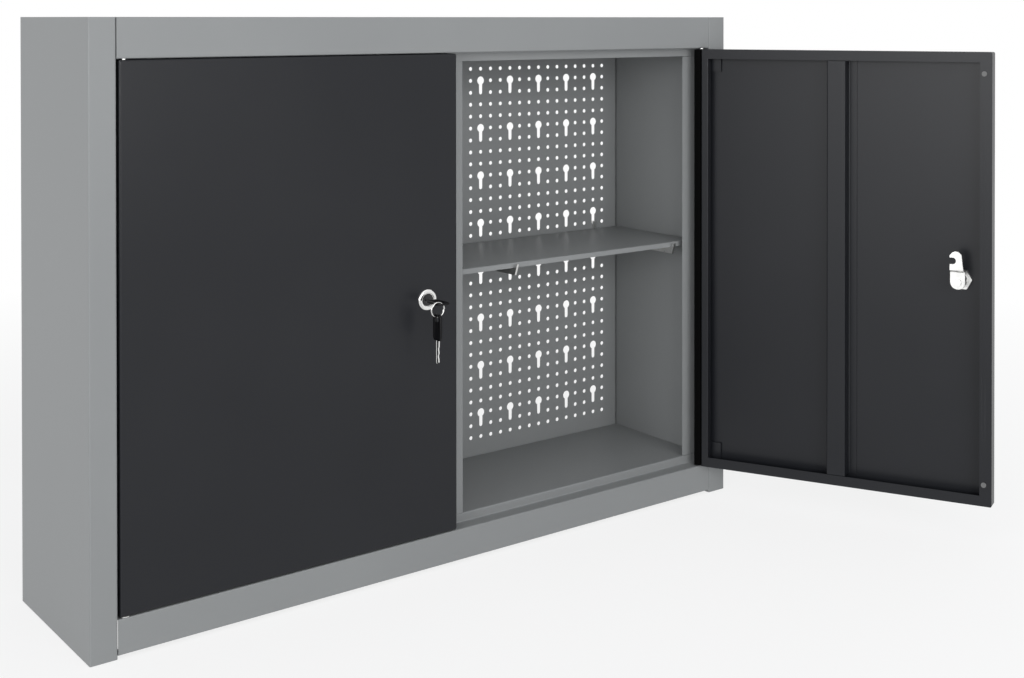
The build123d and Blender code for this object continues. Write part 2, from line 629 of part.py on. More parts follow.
OTHER_PIECES = {
    "side_left": side_left,
    "side_right": side_right,
    "side_liner_left": liner_left,
    "side_liner_right": liner_right,
    "top_panel": top_panel,
    "bottom_panel": bottom_panel,
    "carcass_screws": carcass_screws,
    "carcass_nuts": carcass_nuts,
    "back_panel_left": back_panel_left,
    "back_panel_right": back_panel_right,
    "back_rivets": back_rivets,
    "back_spine": back_spine,
    "spine_rivets": spine_rivets,
    "centre_post": centre_post,
    "post_channels": post_channels,
    "post_rivets": post_rivets,
    "shelf": shelf,
    "hinge_washer_left": hinge_washer_left,
    "hinge_washer_right": hinge_washer_right,
    "lock_cam_left": lock_cam_left,
    "lock_cam_right": lock_cam_right,
    "key_blade": key_blade,
    "key_head": key_head,
    "key_ring": key_ring,
    "spare_key_head": spare_key_head,
    "spare_key_blade": spare_key_blade,
}
for name, piece in OTHER_PIECES.items():
    keep(piece, name)
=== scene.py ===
# %% [markdown]
# # A wall cabinet for tools
# Folded sheet steel, painted: a mid grey carcass with two dark doors, a back
# full of round holes and keyholes, one shelf on plated brackets, and a cam lock
# in each door. The measured frame is loaded first. It gives every part that has
# a plain folded or turned shape, and the cells below dress it and add the rest.

# %% Load the frame
import math

import bmesh
import bpy
from mathutils import Matrix, Vector


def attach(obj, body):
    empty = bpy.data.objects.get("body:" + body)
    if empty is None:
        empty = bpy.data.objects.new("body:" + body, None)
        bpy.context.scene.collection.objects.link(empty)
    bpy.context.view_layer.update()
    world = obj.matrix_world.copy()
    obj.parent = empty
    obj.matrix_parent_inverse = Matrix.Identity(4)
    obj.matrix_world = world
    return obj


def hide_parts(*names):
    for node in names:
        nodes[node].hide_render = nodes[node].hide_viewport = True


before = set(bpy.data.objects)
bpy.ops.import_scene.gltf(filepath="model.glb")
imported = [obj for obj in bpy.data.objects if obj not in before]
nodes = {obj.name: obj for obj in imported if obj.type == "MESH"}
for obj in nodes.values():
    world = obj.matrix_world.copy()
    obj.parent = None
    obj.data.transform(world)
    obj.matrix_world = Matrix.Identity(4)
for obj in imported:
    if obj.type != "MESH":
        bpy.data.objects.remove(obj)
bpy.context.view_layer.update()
MM = 0.001

# %% [markdown]
# ## Shader maths as plain expressions
# A material is a tree of nodes. Wrapping a socket in a small class lets a line
# such as `1 - mask * 0.5` place its Math nodes by itself, which is far easier to
# read than a page of links. Any other node, in a material, in the world or in a
# geometry rule, comes from one method of the tree.


# %% A socket that takes sums, and a tree with one method for any node
class Value:
    def __init__(self, tree, socket):
        self.tree, self.socket = tree, socket

    def maths(self, operation, a, b=None):
        inputs = {0: a} if b is None else {0: a, 1: b}
        return self.tree.node("ShaderNodeMath", {"operation": operation}, inputs)

    def __add__(self, other):
        return self.maths("ADD", self, other)

    def __radd__(self, other):
        return self.maths("ADD", other, self)

    def __sub__(self, other):
        return self.maths("SUBTRACT", self, other)

    def __rsub__(self, other):
        return self.maths("SUBTRACT", other, self)

    def __mul__(self, other):
        return self.maths("MULTIPLY", self, other)

    def __rmul__(self, other):
        return self.maths("MULTIPLY", other, self)

    def __truediv__(self, other):
        return self.maths("DIVIDE", self, other)

    def __rtruediv__(self, other):
        return self.maths("DIVIDE", other, self)

    def __mod__(self, other):
        return self.maths("MODULO", self, other)

    def __rmod__(self, other):
        return self.maths("MODULO", other, self)

    def __abs__(self):
        return self.maths("ABSOLUTE", self)

    def ramp(self, low, high):
        """0 below low, 1 above high, and a straight line between them."""
        return self.tree.node(
            "ShaderNodeMapRange", {}, {"Value": self, "From Min": low, "From Max": high}
        )


class Tree:
    """A node tree and the one method that makes any node in it."""

    def __init__(self, tree):
        self.tree, self.nodes, self.links = tree, tree.nodes, tree.links

    def put(self, socket, value):
        """Links a Value to a socket, or gives the socket a value of its own."""
        if isinstance(value, Value):
            self.links.new(value.socket, socket)
        elif socket.type == "RGBA" and len(value) == 3:
            socket.default_value = (*value, 1)
        else:
            socket.default_value = value

    def node(self, kind, settings, inputs, output=0):
        """Settings are set first, then each socket. A list is several links to one socket."""
        made = self.nodes.new(kind)
        for key, value in settings.items():
            setattr(made, key, value)
        for key, value in inputs.items():
            for one in value if isinstance(value, list) else [value]:
                self.put(made.inputs[key], one)
        return Value(self, made.outputs[output]) if made.outputs else None


# %% [markdown]
# A material starts from the one shader it needs. It adds short names for the nodes
# used most: a noise in object space, a mix of two colours and a bump.


# %% A material
class Finish(Tree):
    def __init__(self, name, **settings):
        self.material = bpy.data.materials.new(name)
        self.material.use_nodes = True
        super().__init__(self.material.node_tree)
        self.shader = self.nodes["Principled BSDF"]
        self.set(**settings)

    def place(self):
        return self.node("ShaderNodeTexCoord", {}, {}, "Object")

    def noise(self, scale, detail=2, stretch=None):
        where = self.place()
        if stretch:
            where = self.node("ShaderNodeMapping", {}, {"Vector": where, "Scale": stretch})
        return self.node(
            "ShaderNodeTexNoise", {}, {"Vector": where, "Scale": scale, "Detail": detail}
        )

    def colour_mix(self, amount, first, second):
        inputs = {0: amount, 6: first, 7: second}
        return self.node("ShaderNodeMix", {"data_type": "RGBA"}, inputs, 2)

    def bumps(self, height, depth, strength):
        return self.node(
            "ShaderNodeBump", {}, {"Height": height, "Distance": depth, "Strength": strength}
        )

    def set(self, **values):
        for socket, value in values.items():
            self.put(self.shader.inputs[socket.replace("_", " ")], value)
        return self.material


# %% [markdown]
# ## Powder coat
# Baked powder paint has a faint orange-peel skin, a soft gloss and very slight
# changes of tone. Two noises do it: a fine one as a shallow bump and a broad one
# that moves the colour. Both move the roughness a little.


# %% Powder coat for the carcass and for the doors
def powder_coat(name, colour, darker, roughness, peel, gloss):
    paint = Finish(name)
    broad = paint.noise(3.5, 3).ramp(0.35, 0.65)
    fine = paint.noise(900, 2)
    return paint.set(
        Base_Color=paint.colour_mix(broad, darker, colour),
        Roughness=roughness + (fine - 0.5) * 0.12 + (broad - 0.5) * 0.05,
        Normal=paint.bumps(fine, 0.00002, peel),
        Specular_IOR_Level=gloss,
    )


grey, grey_shade = (0.275, 0.284, 0.286), (0.260, 0.268, 0.271)
black, black_shade = (0.014, 0.015, 0.018), (0.011, 0.012, 0.015)
body_paint = powder_coat("body paint", grey, grey_shade, 0.42, 0.5, 0.35)
door_paint = powder_coat("door paint", black, black_shade, 0.33, 0.6, 0.27)
print("paints", body_paint.name, door_paint.name)

# %% [markdown]
# ## Plated and moulded parts
# Zinc plate is bright but cloudy, with a fine grain. The lock face is polished.
# The key heads are black moulded plastic, and the bumpers and the core of the lock
# come from the same function. So does the near-black matt foam strip along the hinge
# edge of the doors, which is painted shade: it fills the relief where there is only shadow.


# %% Zinc, nickel, plastic, and a foam strip as painted shade
def plated(name, colour, dull, roughness, grain):
    metal = Finish(name, Metallic=1.0)
    cloud = metal.noise(60, 4)
    fine = metal.noise(1500, 2, (1, 1, 0.15))
    return metal.set(
        Base_Color=metal.colour_mix(cloud.ramp(0.3, 0.7), dull, colour),
        Roughness=roughness + (cloud - 0.5) * 0.18,
        Normal=metal.bumps(fine, 0.00001, grain),
    )


zinc = plated("zinc plate", (0.74, 0.74, 0.73), (0.62, 0.62, 0.61), 0.30, 0.6)
nickel = plated("polished nickel", (0.80, 0.80, 0.79), (0.74, 0.74, 0.73), 0.14, 0.15)


def moulded(name, colour, roughness, gloss=0.5):
    plastic = Finish(name, Specular_IOR_Level=gloss)
    skin = plastic.noise(1200, 2)
    tone = plastic.noise(90, 2)
    return plastic.set(
        Base_Color=plastic.colour_mix(tone, tuple(c * 0.8 for c in colour), colour),
        Roughness=roughness + (skin - 0.5) * 0.15,
        Normal=plastic.bumps(skin, 0.00002, 0.6),
    )


key_plastic = moulded("key plastic", (0.004, 0.004, 0.005), 0.38, 0.2)
bumper_plastic = moulded("bumper", (0.16, 0.16, 0.16), 0.55)
# Painted shade: a near-black, matt foam strip that fills the shadowed relief on the hinge edge.
hinge_shadow_foam = moulded("seal foam", (0.002, 0.002, 0.002), 0.9, 0.05)
core_black = moulded("lock core", (0.020, 0.020, 0.021), 0.30)
print("metals and plastics", zinc.name, nickel.name, key_plastic.name, hinge_shadow_foam.name)

# %% [markdown]
# ## Dressing the frame
# Each frame part takes one finish. The longest entry that its name starts with
# decides which.

# %% Give every frame part its finish
FINISHES = {
    "side": body_paint,
    "top": body_paint,
    "bottom": body_paint,
    "back": body_paint,
    "centre": body_paint,
    "post": body_paint,
    "shelf": body_paint,
    "shelf_bracket": zinc,
    "back_rivets": zinc,
    "spine_rivets": body_paint,
    "carcass": zinc,
    "door": door_paint,
    # The near-black foam strip on the hinge edge is painted shade, standing in for the shadow in
    # its relief.
    "edge": hinge_shadow_foam,
    "hinge": door_paint,
    "hinge_pins": zinc,
    "hinge_washer": zinc,
    "bumpers": bumper_plastic,
    "lock": zinc,
    "lock_housing": nickel,
    "lock_plug": core_black,
    "cam": zinc,
    "key": nickel,
    "key_head": key_plastic,
    "spare_key_head": key_plastic,
    "spare": nickel,
}


def finish_for(name):
    starts = [start for start in FINISHES if name.startswith(start)]
    return FINISHES[max(starts, key=len)]


for name, part in nodes.items():
    part.data.materials.clear()
    part.data.materials.append(finish_for(name))
print("dressed", len(nodes), "parts")

# %% [markdown]
# ## The perforated back
# The real back is a punched sheet, and a pattern like that is what Geometry Nodes
# are for. The class below builds such a tree: named inputs that are set by their
# identifiers, short names for common nodes, and an end that turns the result into
# a plain mesh with a material.


# %% A small builder for geometry trees
class Rule(Tree):
    """A geometry tree with named inputs."""

    def __init__(self, name, **inputs):
        super().__init__(bpy.data.node_groups.new(name, "GeometryNodeTree"))
        face = self.tree.interface
        face.new_socket("Geometry", in_out="OUTPUT", socket_type="NodeSocketGeometry")
        self.keys = {}
        for label, value in inputs.items():
            kind = "NodeSocketMaterial" if label == "finish" else "NodeSocketFloat"
            made = face.new_socket(label, in_out="INPUT", socket_type=kind)
            self.keys[label] = made.identifier
        self.values = inputs
        self.entry = self.nodes.new("NodeGroupInput")

    def named(self, label):
        return Value(self, self.entry.outputs[label])

    def vector(self, x=0.0, y=0.0, z=0.0):
        return self.node("ShaderNodeCombineXYZ", {}, {0: x, 1: y, 2: z})

    def join(self, *parts):
        return self.node("GeometryNodeJoinGeometry", {}, {0: list(reversed(parts))})

    def moved(self, shape, **changes):
        return self.node("GeometryNodeTransform", {}, {"Geometry": shape, **changes})

    def boolean(self, operation, tools, solid=None):
        """Cuts tools out of a solid, or joins or crosses the tools with each other."""
        settings = {"operation": operation, "solver": "EXACT"}
        meshes = {"Mesh 2": tools} if solid is None else {"Mesh 1": solid, "Mesh 2": tools}
        return self.node("GeometryNodeMeshBoolean", settings, meshes)

    def grow(self, result):
        """Ends the tree, runs it on an empty mesh and returns the plain mesh."""
        real = self.node("GeometryNodeRealizeInstances", {}, {0: result})
        done = self.node(
            "GeometryNodeSetMaterial", {}, {"Geometry": real, "Material": self.named("finish")}
        )
        self.node("NodeGroupOutput", {}, {0: done})
        host = bpy.data.objects.new("host", bpy.data.meshes.new("host"))
        bpy.context.scene.collection.objects.link(host)
        rule = host.modifiers.new("rule", "NODES")
        rule.node_group = self.tree
        for label, value in self.values.items():
            rule[self.keys[label]] = value
        sight = bpy.context.evaluated_depsgraph_get()
        mesh = bpy.data.meshes.new_from_object(host.evaluated_get(sight))
        bpy.data.objects.remove(host)
        return mesh


def piece(name, mesh, body, finish=None):
    """Puts a finished mesh in the scene as a piece that rides on a body."""
    made = bpy.data.objects.new(name, mesh)
    bpy.context.scene.collection.objects.link(made)
    if finish:
        mesh.materials.clear()
        mesh.materials.append(finish)
    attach(made, body)
    return made


# %% [markdown]
# The pattern has one pitch of 15 mm both ways. In every third column each fourth
# row has a keyhole, which takes the place of two round holes. Outlines are placed
# on a grid of points, the sheet is filled round them in one go, and then it gets
# its thickness. The frame part has only the holes that carry load, so this sheet
# replaces it. Steps are counted a nudge above the whole number, so that rounding
# can't put a hole in the wrong step.


# %% Punched sheet
PITCH, COLUMNS, ROWS = 15 * MM, 21, 32
PEG_R, KEYHOLE_R, KEYHOLE_POINTS = 2.5 * MM, 5.2 * MM, 48
KEYHOLE_COLUMNS, KEYHOLE_ROWS, NUDGE = 3, 4, 0.2
PATTERN_X, PATTERN_Z = 200 * MM, 2.5 * MM
SHEET, BEND = 0.8 * MM, 1.5 * MM
PANEL_FACE, FLANGE_END = -13 * MM, -1 * MM
PANEL_X, PANEL_Z = (0.4 * MM, 373.9 * MM), (-280 * MM, 298 * MM)


def near(value, number, reach=0.5):
    """1 where a value is within a reach of a number, else 0."""
    return value.maths("LESS_THAN", abs(value - number), reach)


def punched_sheet(side):
    """The flat of one half of the back, in the XY plane, with every hole in it."""
    rule = Rule(
        "punched sheet",
        middle=side * PATTERN_X,
        edge_middle=side * sum(PANEL_X) / 2,
        width=PANEL_X[1] - PANEL_X[0] - 2 * BEND,
        height=PANEL_Z[1] - PANEL_Z[0] - 2 * BEND,
        pitch=PITCH,
        hole=PEG_R,
        keyhole=KEYHOLE_R,
        sheet=SHEET,
        finish=body_paint,
    )
    pitch = rule.named("pitch")
    grid = rule.node(
        "GeometryNodeMeshGrid",
        {},
        {
            "Size X": pitch * (COLUMNS - 1),
            "Size Y": pitch * (ROWS - 1),
            "Vertices X": COLUMNS,
            "Vertices Y": ROWS,
        },
    )
    spot = rule.node("GeometryNodeInputPosition", {}, {})
    across = rule.node("ShaderNodeSeparateXYZ", {}, {0: spot}, 0)
    upward = rule.node("ShaderNodeSeparateXYZ", {}, {0: spot}, 1)
    column = across / pitch + (COLUMNS - 1) / 2
    row = (ROWS - 1) / 2 - upward / pitch
    in_column = near((column + NUDGE) % KEYHOLE_COLUMNS, 1 + NUDGE)
    phase = (row + NUDGE) % KEYHOLE_ROWS
    head = in_column * near(phase, 1 + NUDGE)
    tail = in_column * near(phase, 2 + NUDGE)
    plain = 1 - (head + tail)
    round_hole = rule.node(
        "GeometryNodeCurvePrimitiveCircle", {}, {"Resolution": 14, "Radius": rule.named("hole")}
    )
    big = rule.node(
        "GeometryNodeCurvePrimitiveCircle",
        {},
        {"Resolution": KEYHOLE_POINTS, "Radius": rule.named("keyhole")},
    )
    index = rule.node("GeometryNodeInputIndex", {}, {})
    lowest = KEYHOLE_POINTS * 3 / 4
    along = (index - lowest) * (math.pi / 6)
    in_slot = near(index, lowest, 3.5)
    slot_end = rule.vector(
        rule.named("hole") * along.maths("SINE", along),
        -1 * pitch - rule.named("hole") * along.maths("COSINE", along),
    )
    keyhole = rule.node(
        "GeometryNodeSetPosition", {}, {"Geometry": big, "Selection": in_slot, "Position": slot_end}
    )
    holes = [
        rule.node(
            "GeometryNodeInstanceOnPoints",
            {},
            {"Points": grid, "Selection": where, "Instance": outline},
        )
        for where, outline in ((plain, round_hole), (head, keyhole))
    ]
    middle = rule.vector(rule.named("middle"), PATTERN_Z)
    pegs = rule.moved(rule.join(*holes), Translation=middle)
    edge = rule.node(
        "GeometryNodeCurvePrimitiveQuadrilateral",
        {"mode": "RECTANGLE"},
        {"Width": rule.named("width"), "Height": rule.named("height")},
    )
    edge_middle = rule.vector(rule.named("edge_middle"), sum(PANEL_Z) / 2)
    edge = rule.moved(edge, Translation=edge_middle)
    lines = rule.node("GeometryNodeRealizeInstances", {}, {0: rule.join(pegs, edge)})
    front = rule.node("GeometryNodeFillCurve", {}, {"Curve": lines})
    back = rule.node(
        "GeometryNodeExtrudeMesh",
        {"mode": "FACES"},
        {
            "Mesh": front,
            "Offset": rule.vector(0, 0, -1),
            "Offset Scale": rule.named("sheet"),
            "Individual": False,
        },
    )
    back = rule.node("GeometryNodeFlipFaces", {}, {0: back})
    both = rule.node(
        "GeometryNodeMergeByDistance", {}, {"Geometry": rule.join(front, back), "Distance": 1e-6}
    )
    return rule.grow(both)


# %% [markdown]
# The sheet's edge is turned back towards the wall all round. A short profile of the
# bend is carried round the four corners and mitred there, and joins the sheet.


# %% The turned edge of the back, swept round the sheet
def band(shape, loops):
    """Quads between each loop of corners and the next one."""
    for this, after in zip(loops, loops[1:]):
        for k in range(len(this)):
            n = (k + 1) % len(this)
            shape.faces.new((this[k], this[n], after[n], after[k]))


def swept_frame(corners, profile):
    """A closed profile of (inset, depth) carried round a rectangle, mitred."""
    (x0, x1), (z0, z1) = corners
    shape = bmesh.new()
    rings = []
    for x, z, to_x, to_z in ((x0, z0, 1, 1), (x1, z0, -1, 1), (x1, z1, -1, -1), (x0, z1, 1, -1)):
        corner = [(x + to_x * inset, depth, z + to_z * inset) for inset, depth in profile]
        rings.append([shape.verts.new(point) for point in corner])
    band(shape, rings + rings[:1])
    bmesh.ops.recalc_face_normals(shape, faces=shape.faces)
    return shape


def bend_line(inset, depth, radius, steps=5):
    """Points round a quarter bend, from the sheet's face to its flange."""
    turns = [math.pi / 2 * k / steps for k in range(steps + 1)]
    return [
        (inset + radius * (1 - math.sin(t)), depth + radius * (1 - math.cos(t)))
        for t in turns
    ]


flange = bend_line(0, PANEL_FACE, BEND) + [(0, FLANGE_END), (SHEET, FLANGE_END)]
flange += bend_line(SHEET, PANEL_FACE + SHEET, BEND - SHEET)[::-1]
for side, name in ((-1, "back_panel_left"), (1, "back_panel_right")):
    sheet = punched_sheet(side)
    panel = bmesh.new()
    panel.from_mesh(sheet)
    standing = Matrix.Rotation(math.radians(90), 3, "X")
    bmesh.ops.rotate(panel, verts=panel.verts, matrix=standing)
    bmesh.ops.translate(panel, verts=panel.verts, vec=(0, PANEL_FACE, 0))
    span = sorted(side * x for x in PANEL_X)
    rim = swept_frame((span, PANEL_Z), flange)
    rim_mesh = bpy.data.meshes.new("rim")
    rim.to_mesh(rim_mesh)
    panel.from_mesh(rim_mesh)
    panel.to_mesh(sheet)
    made = piece(name + "_punched", sheet, "cabinet", body_paint)
    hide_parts(name)
    print(made.name, "faces", len(sheet.polygons), "box", [round(v, 4) for v in made.dimensions])

# %% [markdown]
# ## Keys and their ring
# A split ring is a close spiral of spring wire. Geometry Nodes has a spiral curve,
# and a small circle carried along it gives the wire. Its pitch is a little more
# than the wire is thick, so the two turns show as two.


# %% Split ring
def split_ring(radius, wire, turns):
    rule = Rule("split ring", radius=radius, wire=wire, turns=turns, finish=nickel)
    coil = rule.node(
        "GeometryNodeCurveSpiral",
        {},
        {
            "Resolution": 48,
            "Rotations": rule.named("turns"),
            "Start Radius": rule.named("radius"),
            "End Radius": rule.named("radius"),
            "Height": rule.named("turns") * rule.named("wire") * 2.1,
        },
    )
    section = rule.node(
        "GeometryNodeCurvePrimitiveCircle", {}, {"Resolution": 10, "Radius": rule.named("wire")}
    )
    tube = rule.node(
        "GeometryNodeCurveToMesh", {}, {"Curve": coil, "Profile Curve": section, "Fill Caps": True}
    )
    smooth = rule.node("GeometryNodeSetShadeSmooth", {}, {"Geometry": tube})
    return rule.grow(smooth)


LOCK_X, LOCK_Z, FRONT = -38.5 * MM, -5 * MM, -200 * MM
KEY_EYE_Y = FRONT - 30 * MM
RING_X, RING_Z = LOCK_X - 5.5 * MM, LOCK_Z - 5.6 * MM
RING_R, WIRE_R, RING_BACK_Y = 7.8 * MM, 0.5 * MM, KEY_EYE_Y + 0.8 * MM
SPARE_EYE_Z = RING_Z - RING_R - 2.5 * MM
ring_mesh = split_ring(RING_R, WIRE_R, 2.0)
turn = Matrix.Rotation(math.radians(90), 4, "X")
ring_mesh.transform(Matrix.Translation((RING_X, RING_BACK_Y, RING_Z)) @ turn)
ring = piece("split_ring", ring_mesh, "ring")
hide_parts("key_ring")
print("ring", [round(v, 4) for v in ring.dimensions], "faces", len(ring_mesh.polygons))

# %% [markdown]
# A key head is a rounded plate of black plastic with an eye for the ring. Every
# ring of points below goes once round it, so the whole skin is a closed band of
# quads: over the soft edge, down into a shallow panel, through the eye and back.


# %% Key heads
def rounded_ring(width, length, corner, count=40):
    """Points round a rounded rectangle, each corner taking a quarter of them."""
    points = []
    for k in range(count):
        turn = 2 * math.pi * (k + 0.5) / count
        cx = math.copysign(width / 2 - corner, math.cos(turn))
        cy = math.copysign(length / 2 - corner, math.sin(turn))
        points.append((cx + corner * math.cos(turn), cy + corner * math.sin(turn)))
    return points


def eye_ring(radius, shift, count=40):
    turns = [2 * math.pi * (k + 0.5) / count for k in range(count)]
    return [(radius * math.cos(t), shift + radius * math.sin(t)) for t in turns]


EDGE_R, CORNER_R = 0.8 * MM, 4 * MM
PANEL_STEPS = ((1.7 * MM, 2.4 * MM, 0), (2.0 * MM, 2.1 * MM, 0.25 * MM))  # inset, corner, depth
EYE_STEPS = ((0.5 * MM, 0.25 * MM), (0, 0.6 * MM))  # gap to the eye, depth


def key_head_mesh(name, width, length, thick, eye, shift):
    """A head in its own plane: X across, Y along, centred on its outline."""
    half = thick / 2
    rings = []
    for k in range(5):
        t = math.pi / 2 * k / 4
        inset, z = EDGE_R * (1 - math.cos(t)), half - EDGE_R * (1 - math.sin(t))
        rings.append((rounded_ring(width - 2 * inset, length - 2 * inset, CORNER_R - inset), z))
    for inset, corner, depth in PANEL_STEPS:
        outline = rounded_ring(width - 2 * inset, length - 2 * inset, corner)
        rings.append((outline, half - depth))
    rings += [(eye_ring(eye + gap, shift), half - depth) for gap, depth in EYE_STEPS]
    rings += [(points, -z) for points, z in reversed(rings)]
    shape = bmesh.new()
    loops = [[shape.verts.new((x, y, z)) for x, y in points] for points, z in rings]
    band(shape, loops + loops[:1])
    bmesh.ops.recalc_face_normals(shape, faces=shape.faces)
    for face in shape.faces:
        face.smooth = True
    mesh = bpy.data.meshes.new(name)
    shape.to_mesh(mesh)
    return mesh


HEAD_W, HEAD_L, EYE_R, EYE_INSET = 15 * MM, 28 * MM, 3.4 * MM, 5.5 * MM
EYE_SHIFT = HEAD_L / 2 - EYE_INSET
head_mesh = key_head_mesh("key head", HEAD_W, HEAD_L, 2.2 * MM, EYE_R, -EYE_SHIFT)
head_mesh.transform(Matrix.Translation((LOCK_X, KEY_EYE_Y + EYE_SHIFT, LOCK_Z)))
head = piece("key_head_moulded", head_mesh, "lock_left", key_plastic)
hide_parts("key_head")
spare_mesh = key_head_mesh("spare head", HEAD_W, HEAD_L, 3 * MM, EYE_R, EYE_SHIFT)
upright = Matrix(((0, 0, 1, 0), (1, 0, 0, 0), (0, 1, 0, 0), (0, 0, 0, 1)))
spare_mesh.transform(Matrix.Translation((RING_X, KEY_EYE_Y, SPARE_EYE_Z - EYE_SHIFT)) @ upright)
spare = piece("spare_key_head_moulded", spare_mesh, "spare_key", key_plastic)
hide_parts("spare_key_head")
print("key heads", [round(v, 4) for v in spare.dimensions])

# %% [markdown]
# The blade is a strip with one straight back and one edge filed into steps. Its
# outline is a list of depths along the length, and a groove is milled in each face.


# %% Key blades
FIRST_CUT, LAST_GAP, TIP = 11 * MM, 3 * MM, 2.2 * MM
GROOVE, GROOVE_DEPTH = (2.0 * MM, 2.4 * MM, 3.6 * MM, 4.0 * MM), 0.35 * MM


def key_blade_mesh(name, length, width, thick, cuts):
    """A blade from 0 to its tip along X, its back at +Y, with a groove in each face."""
    top, low = width / 2, -width / 2
    edge = [(0, low)]
    step = (length - FIRST_CUT - LAST_GAP) / len(cuts)
    for k, cut in enumerate(cuts):
        start = FIRST_CUT + k * step
        edge.append((start + step * 0.3, low + cut))
        edge.append((start + step * 0.8, low + cut))
    edge += [(length - TIP, low + 0.8 * MM), (length, 0)]
    half, sunk = thick / 2, thick / 2 - GROOVE_DEPTH
    heights = (half, half, sunk, sunk, half)
    levels = [(top - inset, z) for inset, z in zip((0, *GROOVE), heights)]
    shape = bmesh.new()
    columns = []
    for x, y in edge:
        taper = max(0, TIP - (length - x))
        upper = [(max(v - taper, y), z) for v, z in levels] + [(y, half)]
        rim = upper + [(v, -z) for v, z in reversed(upper)]
        columns.append([shape.verts.new((x, v, z)) for v, z in rim])
    band(shape, columns)
    shape.faces.new(columns[0])
    shape.faces.new(columns[-1])
    bmesh.ops.remove_doubles(shape, verts=shape.verts, dist=1e-6)
    bmesh.ops.recalc_face_normals(shape, faces=shape.faces)
    mesh = bpy.data.meshes.new(name)
    shape.to_mesh(mesh)
    return mesh


CUTS = [0.6 * MM, 1.5 * MM, 0.9 * MM, 2.0 * MM, 1.1 * MM]
BLADE_L, BLADE_W, BLADE_THICK = 33 * MM, 7.2 * MM, 1.4 * MM
BLADE_START = HEAD_L - EYE_INSET - 8 * MM
blade_mesh = key_blade_mesh("key blade", BLADE_L, BLADE_W, BLADE_THICK, CUTS)
inward = Matrix(((0, 1, 0, 0), (1, 0, 0, 0), (0, 0, -1, 0), (0, 0, 0, 1)))
blade_mesh.transform(Matrix.Translation((LOCK_X, KEY_EYE_Y + BLADE_START, LOCK_Z)) @ inward)
blade = piece("key_blade_cut", blade_mesh, "lock_left", nickel)
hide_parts("key_blade")
spare_blade_mesh = key_blade_mesh("spare blade", BLADE_L, BLADE_W, BLADE_THICK, CUTS)
downward = Matrix(((0, 0, 1, 0), (0, 1, 0, 0), (-1, 0, 0, 0), (0, 0, 0, 1)))
spare_blade_start = (RING_X, KEY_EYE_Y, SPARE_EYE_Z - BLADE_START)
spare_blade_mesh.transform(Matrix.Translation(spare_blade_start) @ downward)
spare_blade = piece("spare_key_blade_cut", spare_blade_mesh, "spare_key", nickel)
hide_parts("spare_key_blade")
print("blades", [round(v, 4) for v in spare_blade.dimensions])

# %% [markdown]
# ## Rivets and screws
# The frame holds the fasteners as plain discs on shanks. A blind rivet has a low
# dome with a dimple where its stem broke off, and a pan-head screw has a cross
# recess. One rule for each group sets such a head on every spot: a point for each
# place, and the head turned to its direction.


# %% Heads set on points
def heads_on(rule, head, spots):
    """Sets a head, up along Z, on each (place, direction) spot of a rule."""
    heads = []
    for place, aim in spots:
        point = rule.node("GeometryNodePoints", {}, {"Count": 1, "Position": tuple(place)})
        turn = Vector((0, 0, 1)).rotation_difference(Vector(aim)).to_euler()
        heads.append(
            rule.node(
                "GeometryNodeInstanceOnPoints",
                {},
                {"Points": point, "Instance": head, "Rotation": tuple(turn)},
            )
        )
    return rule.join(*heads)


def flat_ball(rule, radius, flatness, lift=0.0):
    ball = rule.node(
        "GeometryNodeMeshUVSphere", {}, {"Segments": 24, "Rings": 14, "Radius": radius}
    )
    flat = rule.vector(1, 1, flatness)
    return rule.moved(ball, Scale=flat, Translation=rule.vector(0, 0, lift))


def rivet_heads(name, spots, finish):
    """Low domes of 3 mm radius with a dimple in the middle."""
    rule = Rule(name, radius=3 * MM, dimple=1.0 * MM, rise=0.9 * MM, finish=finish)
    dome = flat_ball(rule, rule.named("radius"), 0.3)
    dimple = flat_ball(rule, rule.named("dimple"), 0.6, rule.named("rise"))
    head = rule.boolean("DIFFERENCE", dimple, dome)
    return rule.grow(heads_on(rule, head, spots))


def screw_heads(name, spots, radius, rise, finish):
    """Pan heads with a cross recess."""
    rule = Rule(name, radius=radius, rise=rise, slot=0.9 * MM, finish=finish)
    drum = rule.node(
        "GeometryNodeMeshCylinder",
        {},
        {"Vertices": 32, "Radius": rule.named("radius"), "Depth": rule.named("rise")},
    )
    drum = rule.moved(drum, Translation=rule.vector(0, 0, rule.named("rise") * 0.5))
    ball = flat_ball(rule, rule.named("radius") * 1.42, 0.7)
    pan = rule.boolean("INTERSECT", [drum, ball])
    bars = [
        rule.moved(
            rule.node("GeometryNodeMeshCube", {}, {"Size": size}),
            Translation=rule.vector(0, 0, rule.named("rise")),
        )
        for size in (
            rule.vector(rule.named("radius"), rule.named("slot"), rule.named("rise")),
            rule.vector(rule.named("slot"), rule.named("radius"), rule.named("rise")),
        )
    ]
    cross = rule.boolean("UNION", bars)
    head = rule.boolean("DIFFERENCE", cross, pan)
    return rule.grow(heads_on(rule, head, spots))


# %% [markdown]
# Each group of heads becomes one mesh on the cabinet and stands for the frame's
# node of the same fasteners. Their shanks sit inside the sheets and don't show.

